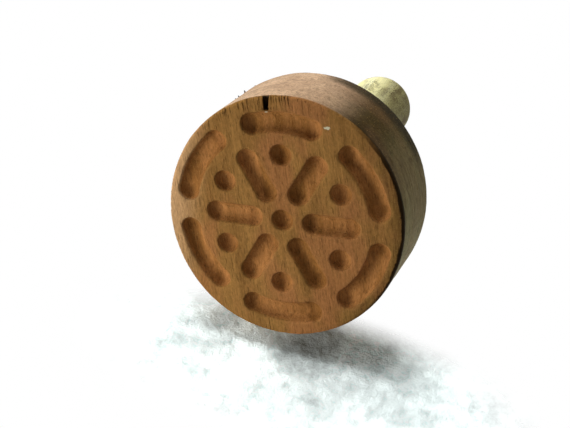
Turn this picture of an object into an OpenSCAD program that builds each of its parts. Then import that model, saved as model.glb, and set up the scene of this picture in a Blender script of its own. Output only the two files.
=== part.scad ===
// Wooden hand stamp, standing on its carved face: a round head with a glued dowel handle.
// The origin is the middle of the carved face, and the handle points up, along +Z.

/* [Head] */
// Diameter of the head
head_d = 62; // [56:1:80]
// Thickness of the head
head_t = 21; // [18:1:32]
// Width of the bevel round both edges of the head
edge_bevel = 0.5; // [0.2:0.1:1]

/* [Handle] */
// Diameter of the handle
handle_d = 20; // [14:1:26]
// Length of handle that stands out of the head
handle_reach = 75; // [40:1:120]
// Radius that rounds the free end of the handle
end_round = 6; // [1:0.5:6.5]

/* [Socket] */
// Depth of the blind socket in the back of the head
socket_depth = 12; // [6:0.5:13]
// Gap round the handle in its socket, which the glue fills
socket_gap = 0.1; // [0.05:0.05:0.3]
// Bevel on the hidden end of the handle
seat_bevel = 0.8; // [0.4:0.1:1.5]

/* [Carving] */
// Diameter of the round-nosed cutter
cutter_d = 5.6; // [5:0.2:6.2]
// Depth of the straight and curved strokes
stroke_depth = 2.2; // [1:0.1:2.2]
// Extra depth of the dimples, and of the ends of strokes, where the cutter dwells
dwell = 0.3; // [0.1:0.05:0.3]
// Number of spokes in the rosette
spokes = 6; // [4:1:6]
// Uncut wood between neighbouring cuts
land = 2.4; // [1.8:0.1:2.6]
// Uncut wood between the outer strokes and the edge of the head
rim_land = 3.2; // [2.5:0.1:4]
// Uncut wood between the ends of the outer strokes
arc_gap = 5; // [3:0.5:8]
// Turn of the rosette about the axis
rosette_turn = 8; // [0:1:60]

/* [Hidden] */
$fn = 96;

// Extra length that carries a cut past the surface it starts from
past = 1;

head_r = head_d / 2;
handle_r = handle_d / 2;
socket_r = handle_r + socket_gap;
socket_floor = head_t - socket_depth;
handle_length = socket_depth + handle_reach;

cutter_r = cutter_d / 2;
dimple_depth = stroke_depth + dwell;
function cut_half_width(depth) = sqrt(pow(cutter_r, 2) - pow(cutter_r - depth, 2));
dimple_half = cut_half_width(dimple_depth);

// The rosette is laid out inwards from the edge of the head
pitch = 360 / spokes;
arc_ring = head_r - rim_land - dimple_half;
arc_sweep = pitch - (arc_gap + 2 * dimple_half) / arc_ring * 180 / PI;
inner_edge = arc_ring - dimple_half - land;
spoke_start = dimple_half + land + dimple_half;
spoke_end = inner_edge - dimple_half;

// One dwell of the cutter at a point on +X; the face looks down
module dimple(distance) {
    translate([distance, 0, dimple_depth - cutter_r])
        sphere(r = cutter_r);
}

// A straight stroke of the cutter along +X, with a dwell at both ends
module straight_stroke(from, to) {
    dimple(from);
    dimple(to);
    translate([from, 0, stroke_depth - cutter_r])
        rotate([0, 90, 0])
            cylinder(r = cutter_r, h = to - from);
}

// A stroke of the cutter along a circle round the axis, centred on +X, with a dwell at both ends
module curved_stroke(ring, sweep) {
    for (turn = [-sweep / 2, sweep / 2])
        rotate([0, 0, turn])
            dimple(ring);
    translate([0, 0, stroke_depth - cutter_r])
        rotate([0, 0, -sweep / 2])
            rotate_extrude(angle = sweep)
                translate([ring, 0])
                    circle(r = cutter_r);
}

// Spokes and dimples by turns round a middle dimple, inside a ring of curved strokes
module rosette() {
    dimple(0);
    for (i = [0 : spokes - 1])
        rotate([0, 0, i * pitch]) {
            straight_stroke(spoke_start, spoke_end);
            rotate([0, 0, pitch / 2]) {
                dimple(spoke_end);
                curved_stroke(arc_ring, arc_sweep);
            }
        }
}

// A cylinder with a bevel round both ends
module bevelled_cylinder(radius, height, bevel) {
    rotate_extrude()
        polygon([
            [0, 0],
            [radius - bevel, 0],
            [radius, bevel],
            [radius, height - bevel],
            [radius - bevel, height],
            [0, height]
        ]);
}

module stamp_head() {
    color("saddlebrown")
        difference() {
            bevelled_cylinder(head_r, head_t, edge_bevel);
            translate([0, 0, socket_floor])
                cylinder(r = socket_r, h = socket_depth + past);
            rotate([0, 0, rosette_turn])
                rosette();
        }
}

// Right half of the handle's outline, bevelled at the hidden end and rounded at the free end
module handle_outline() {
    shoulder = handle_length - end_round;
    polygon([
        [0, 0],
        [handle_r - seat_bevel, 0],
        [handle_r, seat_bevel],
        [handle_r, shoulder],
        [0, shoulder]
    ]);
    translate([0, shoulder])
        square([handle_r - end_round, end_round]);
    translate([handle_r - end_round, shoulder])
        intersection() {
            circle(r = end_round);
            square(end_round);
        }
}

// The handle stands on the floor of the socket
module handle() {
    color("burlywood")
        translate([0, 0, socket_floor])
            rotate_extrude()
                handle_outline();
}

stamp_head();
handle();
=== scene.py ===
import math
import random

import bmesh
import bpy
from mathutils import Matrix, Vector


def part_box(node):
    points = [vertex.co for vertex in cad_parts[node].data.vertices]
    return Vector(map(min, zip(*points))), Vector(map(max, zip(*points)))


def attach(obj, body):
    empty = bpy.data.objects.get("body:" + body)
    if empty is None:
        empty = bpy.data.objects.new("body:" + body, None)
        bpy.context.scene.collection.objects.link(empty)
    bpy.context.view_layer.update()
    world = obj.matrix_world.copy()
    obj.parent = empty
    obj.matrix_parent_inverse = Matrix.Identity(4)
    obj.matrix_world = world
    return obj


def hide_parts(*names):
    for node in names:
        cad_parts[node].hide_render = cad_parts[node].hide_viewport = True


# A wooden hand stamp, a carved disc of dark hardwood on a pale dowel, standing on its carved face.
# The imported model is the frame; sizes below are in millimetres until MM turns them into metres.
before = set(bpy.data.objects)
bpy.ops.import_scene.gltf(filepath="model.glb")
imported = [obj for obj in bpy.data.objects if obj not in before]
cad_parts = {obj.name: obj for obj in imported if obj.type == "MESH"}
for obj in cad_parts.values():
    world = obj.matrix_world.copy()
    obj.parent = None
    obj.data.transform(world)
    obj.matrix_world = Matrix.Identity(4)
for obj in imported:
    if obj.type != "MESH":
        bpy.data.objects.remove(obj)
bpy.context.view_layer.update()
MM = 0.001
head_low, head_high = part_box("stamp_head")
handle_low, handle_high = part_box("handle")

# Head, as the frame has it, and how far the wood has moved since it was turned
HEAD_T = (head_high.z - head_low.z) / MM
HEAD_R = 30.9
OVAL = 0.031
OVAL_TURN = math.radians(25)
BACK_SHIFT = (-0.9, -0.35)
FACE_EDGE = 0.5
BACK_EDGE = 0.8

# Handle and its socket
HANDLE_R = (handle_high.x - handle_low.x) / 2 / MM
HANDLE_FOOT = handle_low.z / MM
HANDLE_TOP = handle_high.z / MM
SOCKET_GAP = 0.1
SEAT_SINK = 0.02
SEAT_BEVEL = 0.8
END_ROUND = 6.0

# Carving: a rosette of strokes and dimples made with one round-nosed cutter
CUTTER_R = 2.8
STROKE_DEPTH = 2.2
DWELL = 0.3
LAND = 2.4
RIM_LAND = 3.2
ARC_GAP = 5.0
SPOKES = 6
ROSETTE_TURN = math.radians(8)
ROSETTE_R = 31.0

# Damage at the edges: a gouge and cracks along the grain, and splinters on the back edge.
# A long crack has its place, inner end and width, and a foot crack its place and inner end.
PAST_EDGE = HEAD_R + 2
GOUGE_X = -0.05
GOUGE_W = 2.0
GOUGE_END = 27.9
GOUGE_DEPTH = 2.6
GOUGE_PAST_FACE = 1.4
GOUGE_LIFT = 2.8
GOUGE_LEAN = 0.8
GOUGE_TAPER = 0.62
SCOOP_R = 1.1
SCOOP_SHIFT = (-0.3, 0.2, -0.6)
LONG_CRACKS = ((4.3, 27.4, 0.4), (6.8, 28.2, 0.3), (-1.8, 29.0, 0.3), (-4.5, 28.8, 0.3), (7.9, -26.5, 0.4))
LONG_CRACK_DEPTH = 1.6
SHORT_CRACKS_FROM = -6.0
SHORT_CRACKS_TO = 16.0
SHORT_CRACKS_SHARE = 0.72
SHORT_CRACKS_PAST_RIM = 0.9
FOOT_CRACKS = ((8.9, -27.9), (9.8, -28.3), (1.2, -30.2))
FOOT_CRACK_W = 0.3
FOOT_CRACK_DEPTH = 0.7
SPLINTER_TURNS = (48, 50, 56, 58, 62, 68)
SPLINTER_LENGTH = 1.1
SPLINTER_R = 0.4
SPLINTER_TIP_R = 0.1

# Pale flecks stuck in the face: place and width
PALE_FLECKS = ((-14.6, 23.2, 1.6), (0.2, 27.3, 0.8))

# Fineness of the meshes, and how close an edge lies to a place that picks it
HEAD_VOXEL = 0.37
HANDLE_VOXEL = 0.55
SAME_POINT = 0.002
NEAR = 0.01

# The axes of the noise: the grain runs along Y in the head and along Z in the handle
ALONG_Y = 1
ALONG_Z = 2

# Colours of the head, as screen values from 0 to 255: pairs are the dark and the light bands
FACE_TONES = ((128, 91, 47), (143, 104, 55))
FACE_REDDISH = (148, 100, 58)
FACE_RIM_SHADE = (62, 54, 24)
FACE_HANDLED_AND_LIT = (186, 148, 106)
CUT_TONES = ((130, 87, 43), (158, 108, 60))
SIDE_TONES = ((100, 79, 53), (124, 100, 69))
SIDE_REDDISH = (132, 98, 70)
SIDE_GRIME = (50, 38, 22)
SIDE_EDGE_SHADE = (44, 33, 18)
BACK_RIM_DARK = (44, 33, 20)
BACK_EDGE_DARK = (42, 38, 26)
SPLINTER_BROWN = (48, 36, 22)
PORE_BROWN = (52, 32, 14)
SPECK_TAN = (176, 140, 88)
HOLLOW_SHADE = (46, 28, 12)
CRACK_SHADE = (26, 18, 9)
SHADE_BLACK = (24, 17, 9)
FLECK_PALE = (196, 190, 160)

# Painted light and shade round the side: the turn each one faces, where it fades in across the head, and
# its colour
SIDE_LIGHT_AND_SHADE = (
    # Painted shade on the part of the side turned from the light
    (154, 23, 30, (66, 53, 26)),
    # Painted light reflected from the ground, on wood that is greyer there
    (198, 16, 31, (131, 122, 84)),
    # A painted highlight where the light falls, with wear
    (72, 14.5, 28.5, (200, 168, 136)),
)

# Colours of the handle
DOWEL_TONES = ((247, 240, 176), (253, 249, 197))
DOWEL_SHADE_AND_GRIME = (116, 108, 54)
DOWEL_GRIME = (78, 62, 36)
DOWEL_PITS = (66, 50, 30)
DOWEL_JOINT = (92, 66, 36)
DOWEL_END = (150, 118, 66)

# Camera, from the photograph's outlines of the face, the back edge and the handle
LENS = 66.3
SENSOR = 36
CAMERA_AT = Vector((-93.5, 94.0, -217.3))
CAMERA_RIGHT = Vector((-0.9310, -0.1425, 0.3360))
CAMERA_UP = Vector((0.0, 0.9206, 0.3906))

# The ground that the stamp lay on: it touches the back edge of the head and the end of the handle
GROUND_NORMAL = Vector((-0.2454, 0.9257, -0.2878)).normalized()
GROUND_TOUCH = Vector((7.94, -29.96, 21.0))

# The grounds lie just clear of what they touch, and fade out sooner upwards than sideways
GROUND_SIZE = 1200
GROUND_CLEAR = 0.1
GROUND_SQUASH = 2.7

# Strength of the world for light, and where it shows
ROOM_LIGHT = 0.07
WHITE = 1.0


def deselect():
    if bpy.context.object and bpy.context.object.mode != "OBJECT":
        bpy.ops.object.mode_set(mode="OBJECT")
    bpy.ops.object.select_all(action="DESELECT")


def take(piece):
    """Makes one piece the only selected and active one."""
    deselect()
    piece.select_set(True)
    bpy.context.view_layer.objects.active = piece


def settled():
    """Puts the place, turn and scale of the shape just added into its mesh."""
    made = bpy.context.object
    take(made)
    bpy.ops.object.transform_apply(location=True, rotation=True, scale=True)
    return made


def finish_with(piece, kind, **settings):
    """Adds one modifier and applies it."""
    take(piece)
    modifier = piece.modifiers.new(kind.title(), kind)
    for name, value in settings.items():
        setattr(modifier, name, value)
    bpy.ops.object.modifier_apply(modifier=modifier.name)


def select_edges(piece, wanted):
    """Selects the edges whose two ends both pass a test, and stays in edit mode."""
    take(piece)
    bpy.ops.object.mode_set(mode="EDIT")
    bpy.ops.mesh.select_mode(type="EDGE")
    bpy.ops.mesh.select_all(action="DESELECT")
    mesh = bmesh.from_edit_mesh(piece.data)
    for edge in mesh.edges:
        edge.select_set(all(wanted(v.co / MM) for v in edge.verts))
    bmesh.update_edit_mesh(piece.data)


def move_edges(piece, wanted, x, y, z):
    select_edges(piece, wanted)
    bpy.ops.transform.translate(value=(x * MM, y * MM, z * MM))
    bpy.ops.object.mode_set(mode="OBJECT")


def bevel_edges(piece, wanted, width, segments):
    select_edges(piece, wanted)
    bpy.ops.mesh.bevel(offset=width * MM, segments=segments, profile=0.5)
    bpy.ops.object.mode_set(mode="OBJECT")


def cylinder(name, radius, low, high, vertices, oval=0.0, turn=0.0):
    deselect()
    bpy.ops.mesh.primitive_cylinder_add(
        vertices=vertices,
        radius=radius * MM,
        depth=(high - low) * MM,
        location=(0, 0, (low + high) / 2 * MM),
        rotation=(0, 0, turn),
        scale=(1 - oval, 1 + oval, 1),
    )
    made = settled()
    made.name = name
    return made


def combine(piece, others, operation="DIFFERENCE"):
    """Cuts every other shape out of a piece, or joins them to it, and removes them."""
    tray = bpy.data.collections.new("tray")
    bpy.context.scene.collection.children.link(tray)
    for other in others:
        tray.objects.link(other)
    finish_with(
        piece,
        "BOOLEAN",
        operation=operation,
        operand_type="COLLECTION",
        collection=tray,
        solver="MANIFOLD",
    )
    for other in others:
        bpy.data.objects.remove(other)
    bpy.data.collections.remove(tray)


def cutter_at(distance, turn, depth):
    """Where the middle of the cutter stands at a depth, a distance and turn from the axis."""
    return (
        distance * math.cos(turn) * MM,
        distance * math.sin(turn) * MM,
        (depth - CUTTER_R) * MM,
    )


def dimple_cutter(distance, turn):
    deselect()
    bpy.ops.mesh.primitive_uv_sphere_add(
        segments=40,
        ring_count=20,
        radius=CUTTER_R * MM,
        location=cutter_at(distance, turn, STROKE_DEPTH + DWELL),
    )
    return settled()


def straight_cutter(start, end, turn):
    deselect()
    bpy.ops.mesh.primitive_cylinder_add(
        vertices=40,
        radius=CUTTER_R * MM,
        depth=(end - start) * MM,
        location=cutter_at((start + end) / 2, turn, STROKE_DEPTH),
        rotation=(0, math.pi / 2, turn),
    )
    return [settled(), dimple_cutter(start, turn), dimple_cutter(end, turn)]


def curved_cutter(ring, start, end):
    deselect()
    bpy.ops.mesh.primitive_circle_add(
        vertices=40,
        radius=CUTTER_R * MM,
        location=cutter_at(ring, start, STROKE_DEPTH),
        rotation=(math.pi / 2, 0, start),
    )
    made = settled()
    bpy.ops.object.mode_set(mode="EDIT")
    bpy.ops.mesh.select_all(action="SELECT")
    bpy.ops.mesh.spin(steps=20, angle=start - end, center=(0, 0, 0), axis=(0, 0, 1))
    bpy.ops.mesh.select_all(action="SELECT")
    bpy.ops.mesh.remove_doubles(threshold=NEAR * MM)
    bpy.ops.mesh.fill_holes(sides=0)
    bpy.ops.mesh.select_all(action="SELECT")
    bpy.ops.mesh.normals_make_consistent(inside=False)
    bpy.ops.object.mode_set(mode="OBJECT")
    return [made, dimple_cutter(ring, start), dimple_cutter(ring, end)]


def rosette_cutters():
    """The strokes and dimples, each a little off its place, as a hand leaves them."""
    hand = random.Random(11)
    half = math.sqrt(CUTTER_R**2 - (CUTTER_R - STROKE_DEPTH - DWELL) ** 2)
    ring = ROSETTE_R - RIM_LAND - half
    inner_edge = ring - half - LAND
    first, last = 2 * half + LAND, inner_edge - half
    pitch = math.tau / SPOKES
    sweep = pitch - (ARC_GAP + 2 * half) / ring
    cutters = [dimple_cutter(0, 0)]
    for i in range(SPOKES):
        turn = ROSETTE_TURN + i * pitch
        between = turn + pitch / 2
        cutters += straight_cutter(
            first + hand.uniform(-0.25, 0.25),
            last + hand.uniform(-0.3, 0.3),
            turn + hand.uniform(-0.012, 0.012),
        )
        cutters.append(
            dimple_cutter(last + hand.uniform(-0.3, 0.3), between + hand.uniform(-0.015, 0.015))
        )
        cutters += curved_cutter(
            ring + hand.uniform(-0.15, 0.15),
            between - sweep / 2 + hand.uniform(-0.02, 0.02),
            between + sweep / 2 + hand.uniform(-0.02, 0.02),
        )
    return cutters


def crack_cutter(x, inner_end, width, depth, yaw=0.0):
    """A thin pyramid that runs in from past the edge, along the grain, to a point."""
    outward = 1 if inner_end > 0 else -1
    outer_end = outward * PAST_EDGE
    deselect()
    bpy.ops.mesh.primitive_cone_add(
        vertices=4,
        radius1=MM,
        radius2=0,
        depth=abs(outer_end - inner_end) * MM,
        location=(x * MM, (outer_end + inner_end) / 2 * MM, 0),
        rotation=(outward * math.pi / 2, 0, yaw),
        scale=(width / 2, depth, 1),
    )
    return settled()


def gouge_cutters():
    """A short slot that deepens inwards from the edge, and the scoop torn out at its end."""
    deselect()
    bpy.ops.mesh.primitive_cube_add(
        size=MM,
        location=(
            GOUGE_X * MM,
            (GOUGE_END + PAST_EDGE) / 2 * MM,
            (GOUGE_DEPTH - GOUGE_PAST_FACE) / 2 * MM,
        ),
        scale=(GOUGE_W, PAST_EDGE - GOUGE_END, GOUGE_DEPTH + GOUGE_PAST_FACE),
    )
    slot = settled()
    at_outer_end = PAST_EDGE - NEAR
    at_bottom = GOUGE_DEPTH - NEAR
    move_edges(slot, lambda co: co.z > at_bottom and co.y > at_outer_end, 0, 0, -GOUGE_LIFT)
    move_edges(slot, lambda co: co.y > at_outer_end, -GOUGE_LEAN, 0, 0)
    select_edges(slot, lambda co: co.y < GOUGE_END + NEAR)
    bpy.ops.transform.resize(value=(GOUGE_TAPER, 1, 1), center_override=(GOUGE_X * MM, 0, 0))
    bpy.ops.object.mode_set(mode="OBJECT")
    bevel_edges(slot, lambda co: co.y < GOUGE_END + NEAR, width=0.25, segments=2)
    deselect()
    bpy.ops.mesh.primitive_uv_sphere_add(
        segments=20,
        ring_count=12,
        radius=SCOOP_R * MM,
        location=(
            (GOUGE_X + SCOOP_SHIFT[0]) * MM,
            (GOUGE_END + SCOOP_SHIFT[1]) * MM,
            SCOOP_SHIFT[2] * MM,
        ),
    )
    return [slot, settled()]


def edge_damage():
    """The gouge, the long cracks, and the short ones that stand close along the top edge."""
    chance = random.Random(12)
    cutters = gouge_cutters()
    for x, inner_end, width in LONG_CRACKS:
        cutters.append(crack_cutter(x, inner_end, width, LONG_CRACK_DEPTH))
    x = SHORT_CRACKS_FROM
    while x < SHORT_CRACKS_TO:
        rim = math.sqrt(HEAD_R**2 - x**2)
        width = chance.uniform(0.2, 1.05)
        depth = chance.uniform(0.4, 1.7)
        length = chance.uniform(1.2, 4.4)
        if abs(x - GOUGE_X) > SCOOP_R and chance.random() < SHORT_CRACKS_SHARE:
            inner_end = rim + SHORT_CRACKS_PAST_RIM - length
            cutters.append(crack_cutter(x, inner_end, width, depth, chance.uniform(-0.04, 0.04)))
        x += chance.uniform(0.5, 1.0)
    for x, inner_end in FOOT_CRACKS:
        cutters.append(crack_cutter(x, inner_end, FOOT_CRACK_W, FOOT_CRACK_DEPTH))
    return cutters


def splinters():
    """Small splinters that stand out from the back edge."""
    chance = random.Random(3)
    made = []
    for degrees in SPLINTER_TURNS:
        turn = math.radians(degrees)
        reach = HEAD_R - 0.35 + chance.uniform(-0.1, 0.2)
        deselect()
        bpy.ops.mesh.primitive_cone_add(
            vertices=5,
            radius1=SPLINTER_R * MM,
            radius2=SPLINTER_TIP_R * MM,
            depth=SPLINTER_LENGTH * MM,
            location=(
                (reach * math.cos(turn) + BACK_SHIFT[0]) * MM,
                (reach * math.sin(turn) + BACK_SHIFT[1]) * MM,
                (HEAD_T - SPLINTER_LENGTH / 2) * MM,
            ),
            rotation=(0, math.radians(chance.uniform(60, 95)), turn + chance.uniform(-0.6, 0.6)),
        )
        made.append(settled())
    return made


def weather(piece, size, height):
    """Lifts and sinks a surface a little, in soft patches of one size."""
    patches = bpy.data.textures.new("patches", "CLOUDS")
    patches.noise_scale = size * MM
    patches.noise_depth = 2
    finish_with(piece, "DISPLACE", texture=patches, strength=height * MM, mid_level=0.5)
    bpy.data.textures.remove(patches)


def clean_cuts(piece):
    """Merges points that the cuts left on top of each other, and drops those that only split an edge."""
    take(piece)
    bpy.ops.object.mode_set(mode="EDIT")
    bpy.ops.mesh.select_mode(type="VERT")
    bpy.ops.mesh.select_all(action="SELECT")
    bpy.ops.mesh.remove_doubles(threshold=SAME_POINT * MM)
    bpy.ops.mesh.select_all(action="DESELECT")
    mesh = bmesh.from_edit_mesh(piece.data)
    for vert in mesh.verts:
        if len(vert.link_edges) == 2:
            vert.select_set(True)
    bmesh.update_edit_mesh(piece.data)
    bpy.ops.mesh.dissolve_verts()
    bpy.ops.object.mode_set(mode="OBJECT")


def smooth_under(piece, degrees):
    """Shades a piece smooth, except across edges sharper than an angle."""
    take(piece)
    bpy.ops.object.shade_smooth_by_angle(angle=math.radians(degrees))


def make_head():
    """The carved disc: its rims are softened before the cracks and the socket are cut."""
    head = cylinder("stamp_head_wood", HEAD_R, 0, HEAD_T, vertices=256, oval=OVAL, turn=OVAL_TURN)
    move_edges(head, lambda co: co.z > HEAD_T - NEAR, *BACK_SHIFT, 0)
    bevel_edges(head, lambda co: co.z > HEAD_T - NEAR, BACK_EDGE, segments=4)
    bevel_edges(head, lambda co: co.z < NEAR, FACE_EDGE, segments=3)
    combine(head, rosette_cutters())
    finish_with(head, "REMESH", mode="VOXEL", voxel_size=HEAD_VOXEL * MM)
    finish_with(head, "SMOOTH", factor=0.5, iterations=5)
    weather(head, size=7.0, height=0.16)
    combine(head, splinters(), "UNION")
    combine(head, edge_damage())
    socket_r = HANDLE_R + SOCKET_GAP
    socket = cylinder("socket", socket_r, HANDLE_FOOT - SEAT_SINK, HEAD_T + 2, vertices=96)
    combine(head, [socket])
    clean_cuts(head)
    smooth_under(head, degrees=35)
    return head


def make_handle():
    """The dowel, rounded at its free end, with a surface that is no longer quite true."""
    handle = cylinder("handle_dowel", HANDLE_R, HANDLE_FOOT, HANDLE_TOP, vertices=128)
    bevel_edges(handle, lambda co: co.z > HANDLE_TOP - NEAR, END_ROUND, segments=14)
    bevel_edges(handle, lambda co: co.z < HANDLE_FOOT + NEAR, SEAT_BEVEL, segments=2)
    finish_with(handle, "REMESH", mode="VOXEL", voxel_size=HANDLE_VOXEL * MM)
    finish_with(handle, "SMOOTH", factor=0.5, iterations=2)
    weather(handle, size=9.0, height=0.14)
    smooth_under(handle, degrees=40)
    return handle


def node(tree, kind, sockets=None, **settings):
    """Adds a node, with its settings, and sets or joins its sockets."""
    made = tree.nodes.new(kind)
    for name, value in settings.items():
        setattr(made, name, value)
    for name, value in (sockets or {}).items():
        if isinstance(value, bpy.types.NodeSocket):
            tree.links.new(value, made.inputs[name])
        else:
            made.inputs[name].default_value = value
    return made


def new_material(name):
    material = bpy.data.materials.new(name)
    material.use_nodes = True
    material.node_tree.nodes.clear()
    return material, material.node_tree


def surface(tree, shader, output="ShaderNodeOutputMaterial"):
    """Joins a shader to the output of its material or world."""
    tree.links.new(shader.outputs[0], node(tree, output).inputs["Surface"])


def shade(red, green, blue):
    """A colour given by its screen values from 0 to 255, as the shaders take it."""
    parts = []
    for value in (red, green, blue):
        part = value / 255
        parts.append(part / 12.92 if part <= 0.04045 else ((part + 0.055) / 1.055) ** 2.4)
    return (*parts, 1.0)


def maths(tree, operation, first, second=0.0, third=0.0):
    sockets = {0: first, 1: second, 2: third}
    return node(tree, "ShaderNodeMath", sockets, operation=operation).outputs[0]


def vector_maths(tree, operation, first, second):
    return node(tree, "ShaderNodeVectorMath", {0: first, 1: second}, operation=operation)


def length_of(tree, vector, scale):
    """The length of a vector, with each of its parts scaled first."""
    scaled = vector_maths(tree, "MULTIPLY", vector, scale).outputs[0]
    return node(tree, "ShaderNodeVectorMath", {0: scaled}, operation="LENGTH").outputs["Value"]


def ramp(tree, value, low, high):
    """0 below the low value, 1 above the high one, and a soft step between."""
    return node(
        tree,
        "ShaderNodeMapRange",
        {"Value": value, "From Min": low, "From Max": high},
        interpolation_type="SMOOTHSTEP",
    ).outputs["Result"]


def step(tree, length, low, high):
    """The same soft step for a length, with its limits in millimetres."""
    return ramp(tree, length, low * MM, high * MM)


def both(tree, *masks):
    """Where all the masks hold."""
    held = masks[0]
    for mask in masks[1:]:
        held = maths(tree, "MULTIPLY", held, mask)
    return held


def beyond(tree, mask):
    """Where a mask doesn't hold."""
    return maths(tree, "SUBTRACT", 1.0, mask)


def blend(tree, amount, below, above, kind="MIX"):
    """Mixes two colours, which a mix node takes at its sockets 6 and 7."""
    return node(
        tree,
        "ShaderNodeMix",
        {0: amount, 6: below, 7: above},
        data_type="RGBA",
        blend_type=kind,
    ).outputs[2]


def wash(tree, colour, tone, mask, amount=1.0):
    """Lays a tone over a colour where a mask holds, up to an amount."""
    if amount < 1:
        mask = maths(tree, "MULTIPLY", mask, amount)
    return blend(tree, mask, colour, shade(*tone))


def banded(tree, bands, tones):
    """A wood's dark and light tones in bands."""
    return blend(tree, ramp(tree, bands, 0.36, 0.62), shade(*tones[0]), shade(*tones[1]))


def position(tree):
    return node(tree, "ShaderNodeTexCoord").outputs["Object"]


def parts_of(tree):
    """A point's place along X, Y and Z."""
    return node(tree, "ShaderNodeSeparateXYZ", {0: position(tree)}).outputs


def facing(tree, degrees, low, high):
    """A soft step across a piece, in a direction given by its turn from +X."""
    turn = math.radians(degrees)
    direction = (math.cos(turn), math.sin(turn), 0)
    along = vector_maths(tree, "DOT_PRODUCT", position(tree), direction).outputs["Value"]
    return step(tree, along, low, high)


def oval_radius(tree, shift):
    """How far a point lies from the head's axis, with the oval of its outline taken out."""
    rounded = node(
        tree,
        "ShaderNodeMapping",
        {
            "Vector": position(tree),
            "Location": (shift[0] * MM, shift[1] * MM, 0),
            "Rotation": (0, 0, OVAL_TURN),
            "Scale": (1 - OVAL, 1 + OVAL, 1),
        },
        vector_type="TEXTURE",
    )
    return length_of(tree, rounded.outputs[0], (1, 1, 0))


def fibre(tree, across, along, axis, detail=2.0, rough=0.5, shift=0.0):
    """Noise drawn out along the grain, with its sizes across and along in millimetres."""
    sizes = [across] * 3
    sizes[axis] = along
    drawn = node(
        tree,
        "ShaderNodeMapping",
        {
            "Vector": position(tree),
            "Location": (shift, shift, shift),
            "Scale": [1 / (size * MM) for size in sizes],
        },
    )
    return node(
        tree,
        "ShaderNodeTexNoise",
        {"Vector": drawn.outputs[0], "Scale": 1.0, "Detail": detail, "Roughness": rough},
    ).outputs["Fac"]


def fleck(tree, x, y, width):
    """A small ragged spot on the face, stuck in the grain."""
    ragged = fibre(tree, 0.5, 0.5, ALONG_Y, detail=2.0, shift=1.1)
    offset = vector_maths(tree, "ADD", position(tree), (-x * MM, -y * MM, 0))
    far = length_of(tree, offset.outputs[0], (1, 2.0, 0))
    far = maths(tree, "MULTIPLY_ADD", ragged, width * MM, far)
    near = beyond(tree, step(tree, far, 0.85 * width, 1.05 * width))
    return both(tree, near, beyond(tree, step(tree, parts_of(tree)[2], 3, 4)))


def tinted(tree, colour, noise, spread):
    """Brightens and darkens a colour by noise round 0.5, by up to the spread either way."""
    level = node(
        tree,
        "ShaderNodeMapRange",
        {
            "Value": noise,
            "From Min": 0.25,
            "From Max": 0.75,
            "To Min": 1 - spread,
            "To Max": 1 + spread,
        },
    ).outputs["Result"]
    grey = node(tree, "ShaderNodeCombineColor", {0: level, 1: level, 2: level}).outputs[0]
    return blend(tree, 1.0, colour, grey, "MULTIPLY")


def finish_wood(tree, colour, roughness, height, depth, specular):
    """Joins a wood's colour, roughness and bump to its shader."""
    bump = node(tree, "ShaderNodeBump", {"Strength": 1.0, "Distance": depth * MM, "Height": height})
    shader = node(
        tree,
        "ShaderNodeBsdfPrincipled",
        {
            "Base Color": colour,
            "Roughness": roughness,
            "Normal": bump.outputs[0],
            "Specular IOR Level": specular,
        },
    )
    surface(tree, shader)


def face_colour(tree, bands, patches, radius):
    """The uncut wood of the face: reddish patches, painted shade at the rim turned from the light, and a
    lighter rim on the other side that is partly handled wear and partly painted light.
    """
    wood = banded(tree, bands, FACE_TONES)
    wood = wash(tree, wood, FACE_REDDISH, ramp(tree, patches, 0.42, 0.66))
    # Painted shade: the face darkens towards its rim on the side turned from the light.
    shaded_face_rim = both(tree, step(tree, radius, HEAD_R - 5, HEAD_R - 1), facing(tree, 195, 14, 24))
    wood = wash(tree, wood, FACE_RIM_SHADE, shaded_face_rim, 0.42)
    # Lighter towards the opposite rim: partly handled wear, partly painted light where the light falls.
    return wash(tree, wood, FACE_HANDLED_AND_LIT, facing(tree, 14, 19, 30), 0.8)


def side_colour(tree, bands, patches, radius, back_radius, z, ragged):
    """The side and the back: painted light and shade round the side and along its edges, with wear and
    dirt.
    """
    wood = banded(tree, bands, SIDE_TONES)
    rimward = step(tree, radius, HEAD_R - 6, HEAD_R - 2)
    # Painted light and shade, laid round the side near its rim
    for turn, low, high, tone in SIDE_LIGHT_AND_SHADE:
        wood = wash(tree, wood, tone, both(tree, rimward, facing(tree, turn, low, high)))
    # Painted shade: a dark band on the side along the face's edge, where it turns from the light.
    shaded_side_edge = both(tree, facing(tree, 150, 27, 31), beyond(tree, step(tree, z, 1, 6)))
    wood = wash(tree, wood, SIDE_EDGE_SHADE, shaded_side_edge, 0.5)
    burrs = both(
        tree,
        step(tree, back_radius, HEAD_R + 0.1, HEAD_R + 0.2),
        facing(tree, 58, 27, 28),
        step(tree, z, HEAD_T - 2.2, HEAD_T - 1.9),
    )
    wood = wash(tree, wood, SPLINTER_BROWN, burrs)
    wood = wash(tree, wood, SIDE_REDDISH, ramp(tree, patches, 0.4, 0.64), 0.22)
    grimy = ramp(tree, fibre(tree, 1.4, 6.0, ALONG_Y, detail=4.0, rough=0.7, shift=4.6), 0.5, 0.72)
    wood = wash(tree, wood, SIDE_GRIME, grimy, 0.4)
    # Darker on the side near the back edge, beside the handle.
    darker_by_handle = both(
        tree,
        facing(tree, 138, 26, 30),
        step(tree, maths(tree, "ADD", z, ragged), 15.5, 19),
    )
    wood = wash(tree, wood, BACK_EDGE_DARK, darker_by_handle, 0.85)
    # Darker along the rim of the back.
    back_rim = both(
        tree,
        step(tree, back_radius, HEAD_R - 1.6, HEAD_R - 0.8),
        step(tree, z, HEAD_T - 1.1, HEAD_T - 0.5),
    )
    wood = wash(tree, wood, BACK_RIM_DARK, back_rim, 0.25)
    layers = fibre(tree, 18.0, 1.3, ALONG_Z, detail=4.0, rough=0.65, shift=1.3)
    return tinted(tree, wood, layers, 0.2)


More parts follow.
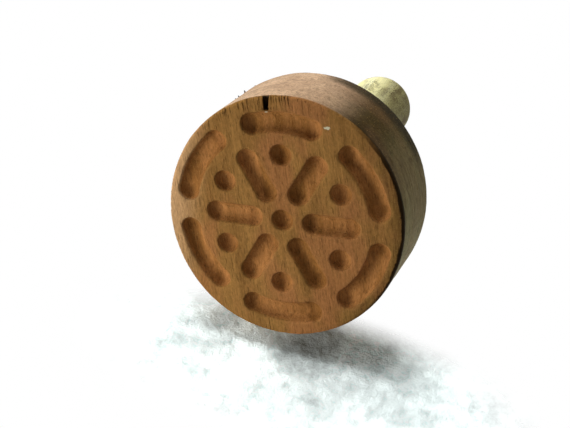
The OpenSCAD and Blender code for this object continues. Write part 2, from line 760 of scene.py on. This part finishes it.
def dark_hardwood():
    """Brown open-pored hardwood, with its grain along Y: a printing face, cuts and a handled side."""
    material, tree = new_material("dark_hardwood")
    x, y, z = parts_of(tree)
    radius = oval_radius(tree, (0, 0))
    back_radius = oval_radius(tree, BACK_SHIFT)

    side = both(tree, step(tree, radius, HEAD_R - 1.0, HEAD_R - 0.3), step(tree, z, 0.3, 1.0))
    back = step(tree, z, HEAD_T - 0.8, HEAD_T - 0.3)
    outside = maths(tree, "MAXIMUM", side, back)
    carved = both(
        tree,
        step(tree, z, 0.15, 0.9),
        beyond(tree, step(tree, z, 3.4, 4.0)),
        beyond(tree, step(tree, radius, HEAD_R - 2.4, HEAD_R - 1.8)),
    )
    ragged = fibre(tree, 1.6, 5.0, ALONG_Y, detail=3.0, rough=0.65, shift=2.3)
    ragged = maths(tree, "MULTIPLY", ragged, 1.6 * MM)

    bands = fibre(tree, 5.5, 70.0, ALONG_Y, detail=3.0, rough=0.6)
    patches = fibre(tree, 9.0, 22.0, ALONG_Y, detail=2.0, shift=7.3)
    stripes = fibre(tree, 0.9, 26.0, ALONG_Y, detail=3.0, rough=0.6, shift=3.1)
    threads = fibre(tree, 0.22, 5.0, ALONG_Y, detail=2.0, rough=0.6, shift=1.7)
    short_grain = fibre(tree, 0.5, 1.1, ALONG_Y, detail=3.0, rough=0.7, shift=2.9)
    pores = ramp(tree, fibre(tree, 0.42, 3.6, ALONG_Y, detail=2.0, rough=0.65, shift=5.9), 0.575, 0.66)
    specks = ramp(tree, fibre(tree, 0.35, 0.35, ALONG_Y, detail=1.0, shift=9.1), 0.62, 0.74)

    face_wood = face_colour(tree, bands, patches, radius)
    side_wood = side_colour(tree, bands, patches, radius, back_radius, z, ragged)
    colour = blend(tree, carved, face_wood, banded(tree, bands, CUT_TONES))
    colour = blend(tree, outside, colour, side_wood)
    for noise, spread in ((stripes, 0.16), (threads, 0.2), (short_grain, 0.24)):
        colour = tinted(tree, colour, noise, spread)
    frayed = both(tree, facing(tree, 78, 23, 31), beyond(tree, outside))
    open_pores = both(tree, pores, maths(tree, "MULTIPLY_ADD", frayed, 0.4, 0.28))
    colour = wash(tree, colour, PORE_BROWN, open_pores)
    colour = wash(tree, colour, SPECK_TAN, specks, 0.28)

    # Painted shade: darker where the wood closes in around a point, in the cuts and hollows.
    hollow = node(tree, "ShaderNodeAmbientOcclusion", {"Distance": 2.2 * MM}, samples=8, only_local=True)
    open_sky = hollow.outputs["AO"]
    colour = wash(tree, colour, HOLLOW_SHADE, beyond(tree, ramp(tree, open_sky, 0.2, 0.8)), 0.2)
    # Painted shade: near black deep in the cracks and narrow hollows.
    colour = wash(tree, colour, CRACK_SHADE, beyond(tree, ramp(tree, open_sky, 0.18, 0.45)), 0.85)
    # Painted shade: a thin dark line along the face's edge where it turns from the light.
    shaded_right_edge = both(
        tree,
        step(tree, maths(tree, "ADD", radius, ragged), HEAD_R - 0.05, HEAD_R + 0.35),
        beyond(tree, step(tree, z, 0.9, 1.6)),
        facing(tree, 185, 17, 27),
    )
    colour = wash(tree, colour, SHADE_BLACK, shaded_right_edge, 0.92)
    # Painted shade: the inside of the gouge near black.
    gouge_half = GOUGE_W / 2
    shaded_gouge = both(
        tree,
        step(tree, z, 0.3, 0.8),
        step(tree, y, GOUGE_END - 0.6, GOUGE_END),
        beyond(tree, step(tree, maths(tree, "ABSOLUTE", x), gouge_half + 0.4, gouge_half + 0.7)),
        beyond(tree, step(tree, z, 3, 3.2)),
        beyond(tree, step(tree, radius, HEAD_R - 0.4, HEAD_R)),
    )
    colour = wash(tree, colour, SHADE_BLACK, shaded_gouge, 0.9)
    for spot in PALE_FLECKS:
        colour = wash(tree, colour, FLECK_PALE, fleck(tree, *spot))

    roughness = node(
        tree, "ShaderNodeMapRange", {"Value": outside, "To Min": 0.66, "To Max": 0.5}
    ).outputs["Result"]
    roughness = maths(tree, "ADD", roughness, maths(tree, "MULTIPLY", pores, 0.25))
    height = maths(
        tree,
        "SUBTRACT",
        maths(tree, "MULTIPLY", threads, 0.6),
        maths(tree, "MULTIPLY", pores, 0.7),
    )
    finish_wood(tree, colour, roughness, height, depth=0.09, specular=0.01)
    return material


def pale_wood():
    """Pale close-grained dowel, with its grain along Z, marked with grime where it is held, and with
    painted shade and grime down one side.
    """
    material, tree = new_material("pale_wood")
    z = parts_of(tree)[2]

    bands = fibre(tree, 3.0, 60.0, ALONG_Z, detail=3.0, rough=0.6)
    stripes = fibre(tree, 0.7, 22.0, ALONG_Z, detail=3.0, rough=0.6, shift=4.1)
    threads = fibre(tree, 0.2, 4.0, ALONG_Z, detail=2.0, rough=0.6, shift=2.7)
    smears = fibre(tree, 4.5, 9.0, ALONG_Z, detail=3.0, rough=0.6, shift=6.3)
    mottle = fibre(tree, 0.42, 0.8, ALONG_Z, detail=4.0, rough=0.8, shift=8.2)
    blotches = fibre(tree, 2.2, 5.5, ALONG_Z, detail=1.0, rough=0.4, shift=5.6)
    pits = ramp(tree, fibre(tree, 0.32, 0.55, ALONG_Z, detail=2.0, rough=0.6, shift=3.7), 0.5, 0.6)

    colour = banded(tree, bands, DOWEL_TONES)
    colour = tinted(tree, colour, stripes, 0.1)
    colour = tinted(tree, colour, threads, 0.12)
    # Painted shade with grime, down the side of the dowel turned from the light.
    shaded_and_grimy = both(tree, facing(tree, 182, 0.5, 10), step(tree, z, 34, 70))
    shaded_grimy_wood = tinted(tree, shade(*DOWEL_SHADE_AND_GRIME), mottle, 0.4)
    colour = blend(tree, maths(tree, "MULTIPLY", shaded_and_grimy, 0.9), colour, shaded_grimy_wood)
    held = both(
        tree,
        ramp(tree, smears, 0.3, 0.62),
        facing(tree, 158, -3, 6),
        step(tree, z, 60, 84),
    )
    flecks = ramp(tree, maths(tree, "MULTIPLY_ADD", blotches, 0.7, mottle), 0.79, 0.94)
    grime = maths(tree, "MULTIPLY", held, maths(tree, "MULTIPLY_ADD", flecks, 0.72, 0.02))
    colour = wash(tree, colour, DOWEL_GRIME, grime)
    pitted = both(tree, pits, maths(tree, "MAXIMUM", held, maths(tree, "MULTIPLY", shaded_and_grimy, 0.8)))
    colour = wash(tree, colour, DOWEL_PITS, pitted, 0.8)
    stain_edge = maths(tree, "MULTIPLY_ADD", mottle, 3 * MM, z)
    joint = beyond(tree, step(tree, stain_edge, HEAD_T + 1.6, HEAD_T + 3.2))
    colour = wash(tree, colour, DOWEL_JOINT, joint, 0.7)
    end_grain = both(
        tree,
        step(tree, z, HANDLE_TOP - 2.5, HANDLE_TOP - 0.6),
        maths(tree, "MULTIPLY_ADD", ramp(tree, bands, 0.4, 0.6), 0.5, 0.5),
    )
    colour = wash(tree, colour, DOWEL_END, end_grain, 0.4)

    roughness = maths(tree, "ADD", 0.55, maths(tree, "MULTIPLY", held, 0.12))
    height = maths(tree, "MULTIPLY", threads, 0.6)
    finish_wood(tree, colour, roughness, height, depth=0.06, specular=0.08)
    return material


def in_view(tree):
    """Where the camera looks, straight or by way of a reflection or through glass."""
    rays = node(tree, "ShaderNodeLightPath").outputs
    return maths(
        tree,
        "MAXIMUM",
        rays["Is Camera Ray"],
        maths(tree, "MAXIMUM", rays["Is Glossy Ray"], rays["Is Transmission Ray"]),
    )


def distance_from(tree, place, squash=1.0):
    """How far a point lies from a place in the scene, with heights counted more by the squash."""
    here = node(tree, "ShaderNodeNewGeometry").outputs["Position"]
    offset = vector_maths(tree, "SUBTRACT", here, [part * MM for part in place])
    return length_of(tree, offset.outputs[0], (1, 1, squash))


def ground_surface(name, level, tint, glow, mottling, depth, middle, reach, rest, rest_step, contact_shadow):
    """Pale ground that only the camera and reflections see, from its upper side, out to a soft edge.

    It has a painted contact shadow where the stamp rests on it: the rest is a place, and its step says how
    far that goes.
    """
    material, tree = new_material(name)
    side = node(tree, "ShaderNodeNewGeometry")
    seen = both(tree, in_view(tree), beyond(tree, side.outputs["Backfacing"]))
    far = distance_from(tree, middle, GROUND_SQUASH)
    seen = both(tree, seen, beyond(tree, step(tree, far, 0.6 * reach, reach)))
    # Painted contact shadow: darker near where the stamp rests.
    clear_of_rest = step(tree, distance_from(tree, rest), *rest_step)
    open_colour = [level * part for part in tint] + [1]
    contact_shadow_colour = [contact_shadow * part for part in open_colour[:3]] + [1]
    colour = blend(tree, clear_of_rest, contact_shadow_colour, open_colour)
    grit = fibre(tree, 3.5, 3.5, ALONG_Y, detail=7.0, rough=0.68)
    lumps = fibre(tree, 11.0, 11.0, ALONG_Y, detail=2.0, rough=0.5, shift=4.0)
    bump = node(tree, "ShaderNodeBump", {"Strength": 1.0, "Distance": depth * MM, "Height": grit})
    colour = tinted(tree, tinted(tree, colour, lumps, mottling), grit, mottling)
    diffuse = node(tree, "ShaderNodeBsdfDiffuse", {"Color": colour, "Normal": bump.outputs[0]})
    light = node(tree, "ShaderNodeEmission", {"Color": (1, 1, 1, 1), "Strength": glow})
    lit = node(tree, "ShaderNodeAddShader", {0: diffuse.outputs[0], 1: light.outputs[0]})
    clear = node(tree, "ShaderNodeBsdfTransparent")
    surface(tree, node(tree, "ShaderNodeMixShader", {"Fac": seen, 1: clear.outputs[0], 2: lit.outputs[0]}))
    return material


def lay_ground(name, touch, normal, material):
    deselect()
    bpy.ops.mesh.primitive_plane_add(size=GROUND_SIZE * MM)
    ground = bpy.context.object
    ground.name = name
    ground.matrix_world = (
        Matrix.Translation((touch - GROUND_CLEAR * normal) * MM)
        @ normal.to_track_quat("Z", "Y").to_matrix().to_4x4()
    )
    ground.data.materials.append(material)


def lay_grounds():
    """The ground that the stamp lay on, and a flat table for views of it standing on its face."""
    chalky = ground_surface(
        "chalky_ground",
        level=1.26,
        tint=(0.93, 1.04, 1.03),
        glow=0.0,
        mottling=0.38,
        depth=0.9,
        middle=(0, -42, -4),
        reach=64,
        rest=(-2, -37, 6),
        rest_step=(3, 16),
        contact_shadow=0.42,
    )
    table = ground_surface(
        "white_table",
        level=0.7,
        tint=(1, 1, 1),
        glow=0.57,
        mottling=0.0,
        depth=0.0,
        middle=(0, 0, 0),
        reach=220,
        rest=(0, 0, 0),
        rest_step=(30, 40),
        contact_shadow=0.6,
    )
    lay_ground("ground_as_found", GROUND_TOUCH, GROUND_NORMAL, chalky)
    lay_ground("ground_standing", Vector((0, 0, 0)), Vector((0, 0, 1)), table)


def from_camera(right, up, toward):
    """A direction given as the photograph has it: to the right, up, and towards the viewer."""
    back = CAMERA_RIGHT.cross(CAMERA_UP)
    return right * CAMERA_RIGHT + up * CAMERA_UP + toward * back


def soft_lamp(name, direction, distance, size, level, target):
    """A round lamp: at level 1, a surface at the target that faces it shows its own colour."""
    direction = direction.normalized()
    light = bpy.data.lights.new(name, "AREA")
    light.shape = "DISK"
    light.size = size * MM
    light.energy = level * (math.pi * distance * MM) ** 2
    lamp = bpy.data.objects.new(name, light)
    bpy.context.scene.collection.objects.link(lamp)
    lamp.location = (Vector(target) + direction * distance) * MM
    lamp.rotation_mode = "QUATERNION"
    lamp.rotation_quaternion = (-direction).to_track_quat("-Z", "Y")
    lamp.visible_camera = False


def light_scene():
    """A dim even room that shows white, and soft lamps: four by the camera, two by the stamp's axes."""
    world = bpy.data.worlds.new("studio")
    bpy.context.scene.world = world
    world.use_nodes = True
    tree = world.node_tree
    tree.nodes.clear()
    room, white = (
        node(tree, "ShaderNodeBackground", {"Color": (1, 1, 1, 1), "Strength": strength}).outputs[0]
        for strength in (ROOM_LIGHT, WHITE)
    )
    mixed = node(tree, "ShaderNodeMixShader", {"Fac": in_view(tree), 1: room, 2: white})
    surface(tree, mixed, "ShaderNodeOutputWorld")
    for name, direction, distance, size, level, target in (
        ("sky", from_camera(-0.05, 0.92, 0.38), 500, 300, 0.96, (0, 0, 0)),
        ("upper_left", from_camera(-0.72, 0.64, -0.1), 450, 300, 0.24, (0, 0, 0)),
        ("left_window", from_camera(-0.92, -0.27, 0.22), 200, 90, 1.03, (0, 0, 0)),
        ("front_fill", from_camera(0.1, -0.7, 0.7), 400, 300, 0.22, (0, 0, 0)),
        ("ground_bounce", Vector((-0.45, -0.85, 0.2)), 400, 260, 0.45, (0, 0, 30)),
        ("overhead", Vector((0.35, -0.45, 0.82)), 600, 240, 0.6, (0, 0, 40)),
    ):
        soft_lamp(name, direction, distance, size, level, target)


def set_camera():
    data = bpy.data.cameras.new("camera")
    data.lens = LENS
    data.sensor_width = SENSOR
    data.clip_start = 5 * MM
    camera = bpy.data.objects.new("camera", data)
    bpy.context.scene.collection.objects.link(camera)
    back = CAMERA_RIGHT.cross(CAMERA_UP)
    axes = Matrix((CAMERA_RIGHT, CAMERA_UP, back)).transposed()
    camera.matrix_world = Matrix.Translation(CAMERA_AT * MM) @ axes.to_4x4()
    bpy.context.scene.camera = camera


for piece, material, cad_node, slot in (
    (make_head(), dark_hardwood(), "stamp_head", "dark_hardwood"),
    (make_handle(), pale_wood(), "handle", "pale_wood"),
):
    piece.data.materials.clear()
    piece.data.materials.append(material)
    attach(piece, "root")
    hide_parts(cad_node)

lay_grounds()
light_scene()
set_camera()
bpy.context.scene.view_settings.view_transform = "Standard"
